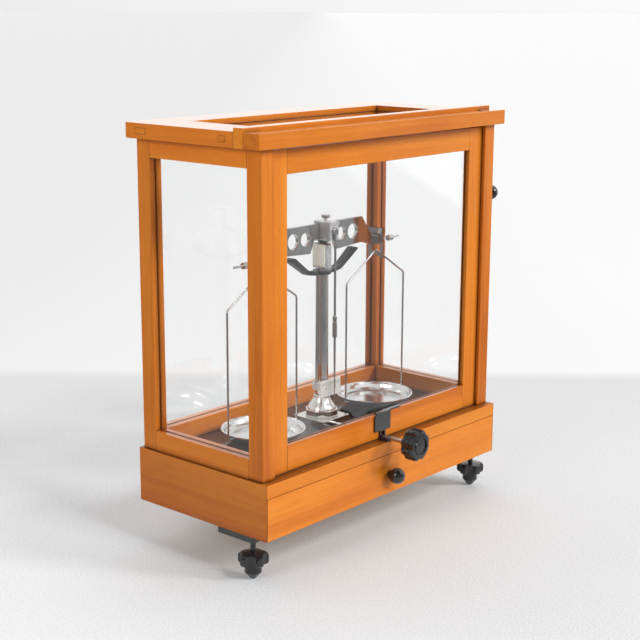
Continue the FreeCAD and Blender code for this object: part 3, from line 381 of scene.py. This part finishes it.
def mirror_black(name):
    T = Tree(name)
    co = T.obj()
    dust = T.span(T.noise(co, 1400.0, 2.0, 0.6), 0.66, 0.78, 0.0, 0.35)
    haze = T.noise(co, 12.0, 4.0, 0.6, 0.5)
    col = T.mix(dust, (0.010, 0.010, 0.012), (0.16, 0.155, 0.15))
    T.principled(
        Base_Color=col,
        Roughness=T.math("ADD", T.span(haze, 0.35, 0.7, 0.03, 0.10), T.math("MULTIPLY", dust, 0.5)),
        Normal=T.bump(haze, 0.01, 0.0005),
    )
    return T.mat


MAT = dict(WOOD)
for n in ("glass_sides", "glass_top", "sash_glass"):
    MAT[n] = GLASS
MAT["glass_back"] = GLASS_B
MAT["floor_plate"] = mirror_black("black_glass_plate")
for n in ("foot_left", "foot_right", "arrest_knob"):
    MAT[n] = BAKELITE
for n in ("drawer_knob", "sash_lock"):
    MAT[n] = BALL
for n in ("foot_bars", "rear_foot", "sash_lift", "shaft_bearing", "arrest_arms"):
    MAT[n] = ENAMEL
for n in ("arrest_shaft", "arrest_rod", "centre_knife", "end_knives"):
    MAT[n] = STEEL
for n in ("bow_left", "bow_right", "pointer"):
    MAT[n] = WIRE
for n in ("pillar_plate", "stirrup_left", "stirrup_right", "sensitivity_screw", "balance_nut_left", "balance_nut_right", "pillar_base"):
    MAT[n] = CHROME
MAT["pillar"] = CHROME_Z
MAT["sash_lift"] = LIFT
for n in ("pan_left", "pan_right"):
    lo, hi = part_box(n)
    MAT[n] = spun("spun_" + n, (0.74, 0.735, 0.72), 0.13, (0.5 * (lo[0] + hi[0]), 0.5 * (lo[1] + hi[1])))
MAT["pointer_sleeve"] = BRASS
MAT["beam"] = ALLOY
MAT["beam_saddle"] = CAST
MAT["head_block"] = CAST
MAT["index_plate"] = dial("scale_plate")
MAT["head_cover"] = IVORY
MAT["centre_bearing"] = AGATE

BEVEL = {}

for n in WOOD:
    BEVEL[n] = 0.0007
for n in ("pillar_plate", "head_block", "beam", "beam_saddle", "sash_lift", "shaft_bearing", "foot_bars", "head_cover", "index_plate", "pillar_base", "arrest_arms"):
    BEVEL[n] = 0.0004
BEVEL["sash_lift"] = 0.0013

for name, ob in NODES.items():
    m = MAT[name]
    if not ob.material_slots:
        ob.data.materials.append(m)
    for s in ob.material_slots:
        s.material = m
    if name in BEVEL:
        wd = ob.modifiers.new("weld", "WELD")
        wd.merge_threshold = 1e-6
        bv = ob.modifiers.new("edge", "BEVEL")
        bv.width = BEVEL[name]
        bv.segments = 2
        bv.limit_method = "ANGLE"
        bv.angle_limit = math.radians(38)
        bv.harden_normals = True
        bv.use_clamp_overlap = True

# ---------------------------------------------------------------- floor
C = Vector((-1.163453, -0.989101, 0.586295))
R = Vector((0.6605788, -0.75074756, 0.0037097))
U = Vector((0.16657147, 0.1513799, 0.97433981))
F = Vector((0.73204481, 0.64301029, -0.22505148))
FH = Vector((F.x, F.y, 0)).normalized()


def floor_material():
    T = Tree("studio_floor")
    g = T.t.nodes.new("ShaderNodeNewGeometry").outputs["Position"]
    d = T.vec("DOT_PRODUCT", T.vec("SUBTRACT", g, (C.x, C.y, 0.0)), tuple(FH))
    side = T.vec("DOT_PRODUCT", T.vec("SUBTRACT", g, (C.x, C.y, 0.0)), tuple(R))
    wall = T.span(d, 2.125, 2.175)
    speck = T.noise(g, 420.0, 3.0, 0.7)
    soft = T.noise(g, 6.0, 2.0, 0.5)
    near = T.mix(T.span(speck, 0.38, 0.64), (0.565, 0.567, 0.57), (0.69, 0.692, 0.695))
    near = T.mix(T.span(soft, 0.3, 0.7, 0.0, 0.25), near, (0.66, 0.662, 0.665))
    # painted light: floor close to the object tinted slightly cool to cancel the warm light bounced off the wood
    near = T.mix(T.span(T.vec("LENGTH", g), 0.24, 0.62), T.mix(1.0, near, (0.975, 1.0, 1.012), "MULTIPLY"), near)
    # painted shade: floor darker in the band before the wall, more on the left
    near = T.mix(T.math("MULTIPLY", T.span(d, 1.45, 2.12), T.span(side, -0.9, 0.5, 1.0, 0.3)), near, T.mix(1.0, near, (0.84, 0.845, 0.85), "MULTIPLY"))
    # painted shade: backdrop darker on the left than on the right
    far = T.mix(T.span(side, -0.6, 0.6), (0.64, 0.64, 0.64), (0.745, 0.745, 0.745))
    col = T.mix(wall, near, far)
    # painted reflection: for mirror surfaces the floor away from the object turns near black, standing in for the
    # darker room past the edge of the table
    lp = T.t.nodes.new("ShaderNodeLightPath")
    away = T.span(T.vec("LENGTH", g), 0.34, 0.75)
    flag = T.math("MULTIPLY", T.math("MULTIPLY", away, T.math("SUBTRACT", 1.0, wall)), T.math("GREATER_THAN", lp.outputs["Glossy Depth"], 0.5))
    col = T.mix(T.math("MULTIPLY", flag, 0.85), col, (0.05, 0.05, 0.055))
    # painted light: the floor glows a little everywhere to lighten shadows, and more where seen through glass
    clear = T.math("MULTIPLY", T.math("GREATER_THAN", lp.outputs["Transmission Depth"], 0.5), T.math("LESS_THAN", lp.outputs["Glossy Depth"], 0.5))
    T.principled(Base_Color=col, Emission_Color=col, Emission_Strength=T.math("ADD", T.math("MULTIPLY", clear, 0.17), 0.12), Roughness=0.7, Normal=T.bump(T.math("MULTIPLY", speck, T.math("SUBTRACT", 1.0, wall)), 0.08, 0.0006))
    return T.mat


me = bpy.data.meshes.new("studio_floor")
bm = bmesh.new()
bmesh.ops.create_grid(bm, x_segments=8, y_segments=8, size=60.0)
bm.to_mesh(me)
bm.free()
floor = bpy.data.objects.new("studio_floor", me)
bpy.context.scene.collection.objects.link(floor)
me.materials.append(floor_material())

# ---------------------------------------------------------------- camera
cam = bpy.data.cameras.new("camera")
cam.lens = 78.248
cam.sensor_width = 36.0
cam.sensor_fit = "HORIZONTAL"
cam.clip_start = 0.05
cam.clip_end = 60.0
cam_ob = bpy.data.objects.new("camera", cam)
bpy.context.scene.collection.objects.link(cam_ob)
B = -F
cam_ob.matrix_world = Matrix(((R.x, U.x, B.x, C.x), (R.y, U.y, B.y, C.y), (R.z, U.z, B.z, C.z), (0, 0, 0, 1)))
bpy.context.scene.camera = cam_ob

# ---------------------------------------------------------------- light
TARGET = Vector((0.0, 0.0, 0.22))


def area(name, direction, dist, sx, sy, power, colour=(1, 1, 1)):
    l = bpy.data.lights.new(name, "AREA")
    l.shape = "RECTANGLE"
    l.size, l.size_y = sx, sy
    l.energy = power
    l.color = colour
    o = bpy.data.objects.new(name, l)
    bpy.context.scene.collection.objects.link(o)
    d = Vector(direction).normalized()
    o.location = TARGET + d * dist
    o.rotation_euler = (-d).to_track_quat("-Z", "Y").to_euler()
    return o


def sun(name, direction, strength, angle):
    l = bpy.data.lights.new(name, "SUN")
    l.energy = strength
    l.angle = math.radians(angle)
    o = bpy.data.objects.new(name, l)
    bpy.context.scene.collection.objects.link(o)
    d = Vector(direction).normalized()
    o.rotation_euler = (-d).to_track_quat("-Z", "Y").to_euler()
    return o


sun("key_right", (0.42, -0.78, 0.47), 1.43, 12.0)
sun("key_front", (0.02, -0.72, 0.70), 1.27, 13.0)
area("edge_left", (-0.90, -0.06, 0.45), 1.7, 0.7, 0.7, 7.6, (1.0, 0.99, 0.98))

w = bpy.data.worlds.new("studio")
bpy.context.scene.world = w
w.use_nodes = True
nt = w.node_tree
nt.nodes.clear()
wo = nt.nodes.new("ShaderNodeOutputWorld")
bg = nt.nodes.new("ShaderNodeBackground")
tc = nt.nodes.new("ShaderNodeTexCoord")
dp = nt.nodes.new("ShaderNodeVectorMath")
dp.operation = "DOT_PRODUCT"
dp.inputs[1].default_value = tuple(FH)
nt.links.new(tc.outputs["Generated"], dp.inputs[0])
mr = nt.nodes.new("ShaderNodeMapRange")
mr.inputs[1].default_value, mr.inputs[2].default_value = -0.12, 0.22
mr.inputs[3].default_value, mr.inputs[4].default_value = 0.17, 1.16
nt.links.new(dp.outputs["Value"], mr.inputs[0])
lp = nt.nodes.new("ShaderNodeLightPath")
mxv = nt.nodes.new("ShaderNodeMath")
mxv.operation = "MAXIMUM"
nt.links.new(lp.outputs["Is Camera Ray"], mxv.inputs[0])
nt.links.new(lp.outputs["Is Transmission Ray"], mxv.inputs[1])
mm = nt.nodes.new("ShaderNodeMix")
mm.data_type = "FLOAT"
nt.links.new(mxv.outputs[0], mm.inputs[0])
nt.links.new(mr.outputs[0], mm.inputs[2])
ds = nt.nodes.new("ShaderNodeVectorMath")
ds.operation = "DOT_PRODUCT"
ds.inputs[1].default_value = tuple(R)
nt.links.new(tc.outputs["Generated"], ds.inputs[0])
ms = nt.nodes.new("ShaderNodeMapRange")
ms.inputs[1].default_value, ms.inputs[2].default_value = -0.2, 0.2
ms.inputs[3].default_value, ms.inputs[4].default_value = 0.85, 0.96
nt.links.new(ds.outputs["Value"], ms.inputs[0])
nt.links.new(ms.outputs[0], mm.inputs[3])
nt.links.new(mm.outputs[0], bg.inputs["Strength"])
bg.inputs["Color"].default_value = (1.0, 1.0, 1.0, 1.0)
nt.links.new(bg.outputs[0], wo.inputs[0])

bpy.context.scene.view_settings.view_transform = "Standard"
bpy.context.scene.view_settings.look = "None"
